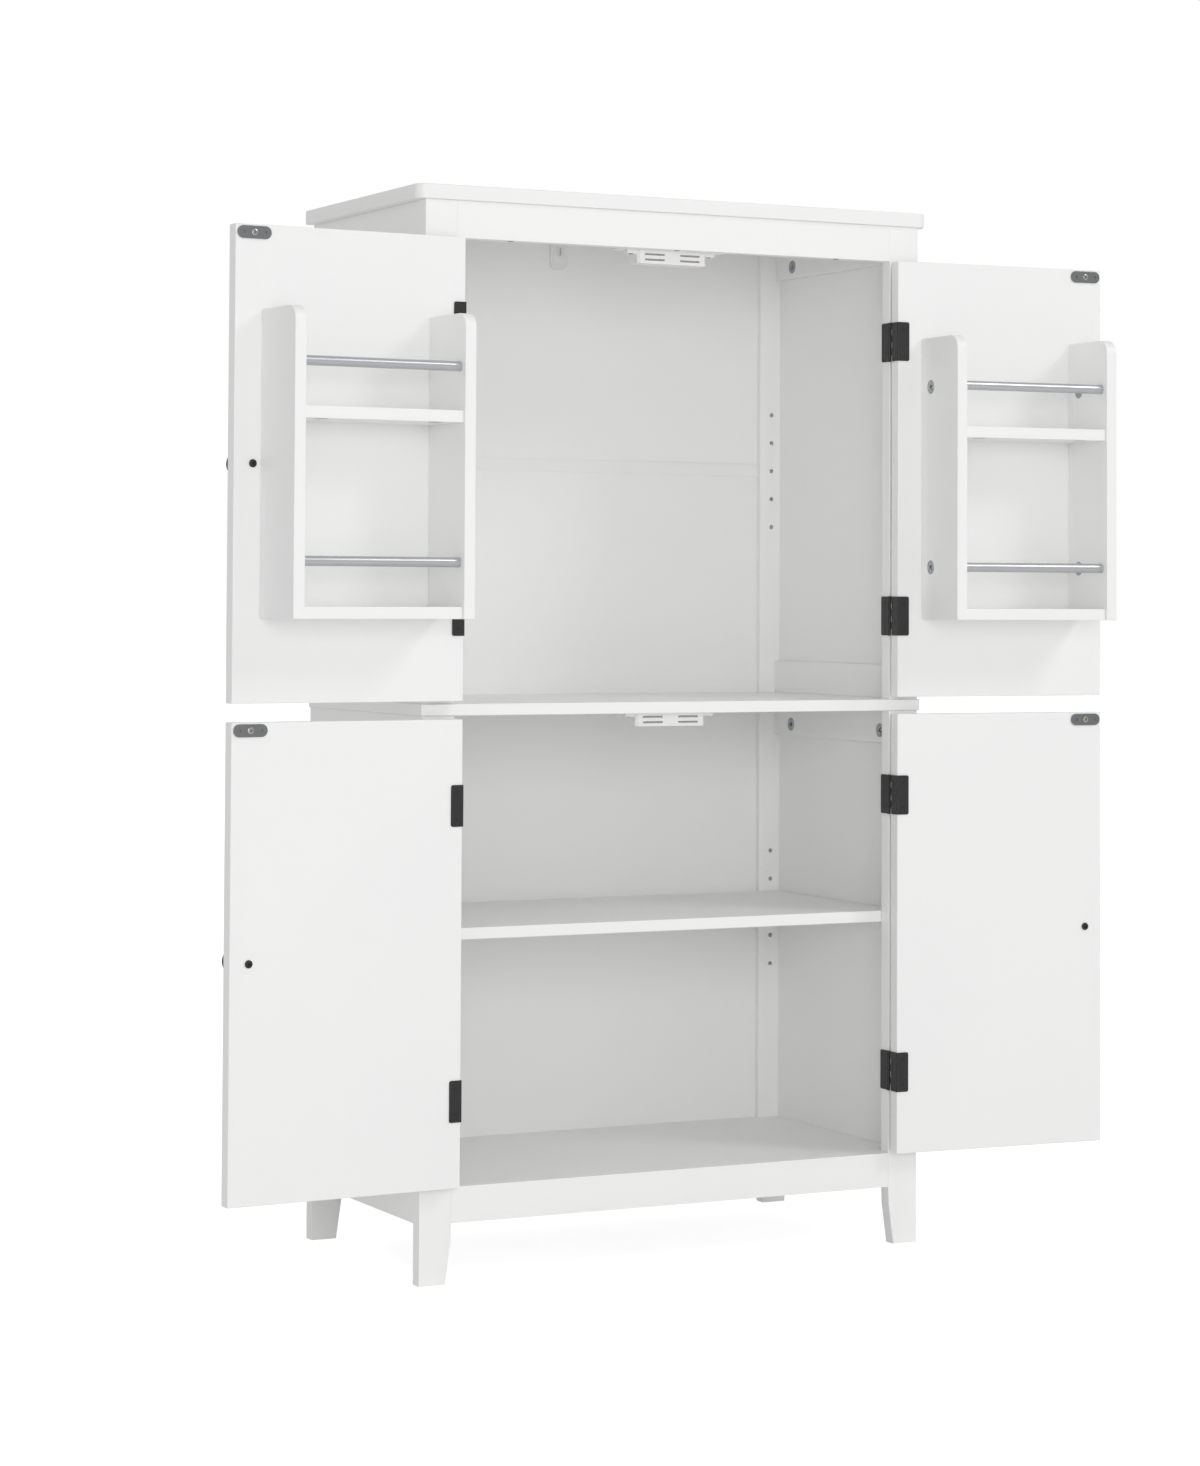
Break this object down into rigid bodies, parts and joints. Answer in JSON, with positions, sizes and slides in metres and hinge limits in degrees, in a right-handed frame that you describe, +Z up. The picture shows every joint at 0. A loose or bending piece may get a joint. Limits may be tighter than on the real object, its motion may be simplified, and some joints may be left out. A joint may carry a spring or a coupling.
{
  "type": "pantry cabinet",
  "caption": "Free-standing two-tier pantry cabinet with framed sides, inset doors on wrap-round hinges, bottle racks on the upper doors and an adjustable shelf.",
  "frame": {"origin": "on the floor, in the middle of the rectangle of the four feet", "axes": "+X to the right seen from the front, +Y from the front to the wall, +Z up"},
  "size_m": [1.0122, 0.4042, 1.1],
  "materials": {
    "white_painted_mdf": "satin white lacquer on fibreboard",
    "white_hardboard": "white foil on thin hardboard",
    "white_plastic": "moulded, fine matt",
    "white_steel": "white powder coat",
    "black_steel": "black electrophoretic coat",
    "black_zinc": "satin black powder coat",
    "gunmetal_steel": "dark nickel plate",
    "nickel_steel": "nickel plated",
    "zinc": "die-cast zinc",
    "aluminium": "satin anodised tube",
    "ferrite": "sintered ferrite",
    "beech": "raw turned beech"
  },
  "bodies": {
    "frame": {"top_panel": "white_painted_mdf", "top_front_rail": "white_painted_mdf", "catch_block": "white_painted_mdf", "middle_panel": "white_painted_mdf", "floor_panel": "white_painted_mdf", "bottom_front_rail": "white_painted_mdf", "back_panels": "white_hardboard", "back_joint_strips": "white_plastic", "upper_left_front_stile": "white_painted_mdf", "upper_left_back_stile": "white_painted_mdf", "upper_right_front_stile": "white_painted_mdf", "upper_right_back_stile": "white_painted_mdf", "lower_left_front_leg": "white_painted_mdf", "lower_left_back_leg": "white_painted_mdf", "lower_right_front_leg": "white_painted_mdf", "lower_right_back_leg": "white_painted_mdf", "left_side_rails": "white_painted_mdf", "right_side_rails": "white_painted_mdf", "upper_left_side_panel": "white_painted_mdf", "upper_right_side_panel": "white_painted_mdf", "lower_left_side_panel": "white_painted_mdf", "lower_right_side_panel": "white_painted_mdf", "shelf": "white_painted_mdf", "shelf_pins": "nickel_steel", "wooden_dowels": "beech", "frame_cam_locks": "zinc", "frame_screws": "black_steel", "frame_hinge_leaves": "black_steel", "catch_housings": "white_plastic", "catch_magnets": "ferrite", "catch_pole_plates": "nickel_steel", "wall_bracket": "white_steel"},
    "upper_left_door_body": {"upper_left_door": "white_painted_mdf", "upper_left_hinge_leaves": "black_steel", "upper_left_strike_plate": "gunmetal_steel", "upper_left_knob": "black_zinc", "upper_left_door_screws": "black_steel", "left_rack_sides": "white_painted_mdf", "left_rack_shelves": "white_painted_mdf", "left_rack_rods": "aluminium", "left_rack_cam_locks": "zinc"},
    "upper_right_door_body": {"upper_right_door": "white_painted_mdf", "upper_right_hinge_leaves": "black_steel", "upper_right_strike_plate": "gunmetal_steel", "upper_right_knob": "black_zinc", "upper_right_door_screws": "black_steel", "right_rack_sides": "white_painted_mdf", "right_rack_shelves": "white_painted_mdf", "right_rack_rods": "aluminium", "right_rack_cam_locks": "zinc"},
    "lower_left_door_body": {"lower_left_door": "white_painted_mdf", "lower_left_hinge_leaves": "black_steel", "lower_left_strike_plate": "gunmetal_steel", "lower_left_knob": "black_zinc", "lower_left_door_screws": "black_steel"},
    "lower_right_door_body": {"lower_right_door": "white_painted_mdf", "lower_right_hinge_leaves": "black_steel", "lower_right_strike_plate": "gunmetal_steel", "lower_right_knob": "black_zinc", "lower_right_door_screws": "black_steel"}
  },
  "joints": [
    {"name": "upper_left_door_hinge", "type": "hinge", "parent": "frame", "child": "upper_left_door_body", "pos_m": [-0.25375, -0.1498, 0.8135], "axis": [0, 0, 1], "range_deg": [-3, 177]},
    {"name": "upper_right_door_hinge", "type": "hinge", "parent": "frame", "child": "upper_right_door_body", "pos_m": [0.25375, -0.1498, 0.8135], "axis": [0, 0, -1], "range_deg": [-3, 177]},
    {"name": "lower_left_door_hinge", "type": "hinge", "parent": "frame", "child": "lower_left_door_body", "pos_m": [-0.25375, -0.1498, 0.3305], "axis": [0, 0, 1], "range_deg": [-3, 177]},
    {"name": "lower_right_door_hinge", "type": "hinge", "parent": "frame", "child": "lower_right_door_body", "pos_m": [0.25375, -0.1498, 0.3305], "axis": [0, 0, -1], "range_deg": [-3, 177]}
  ]
}
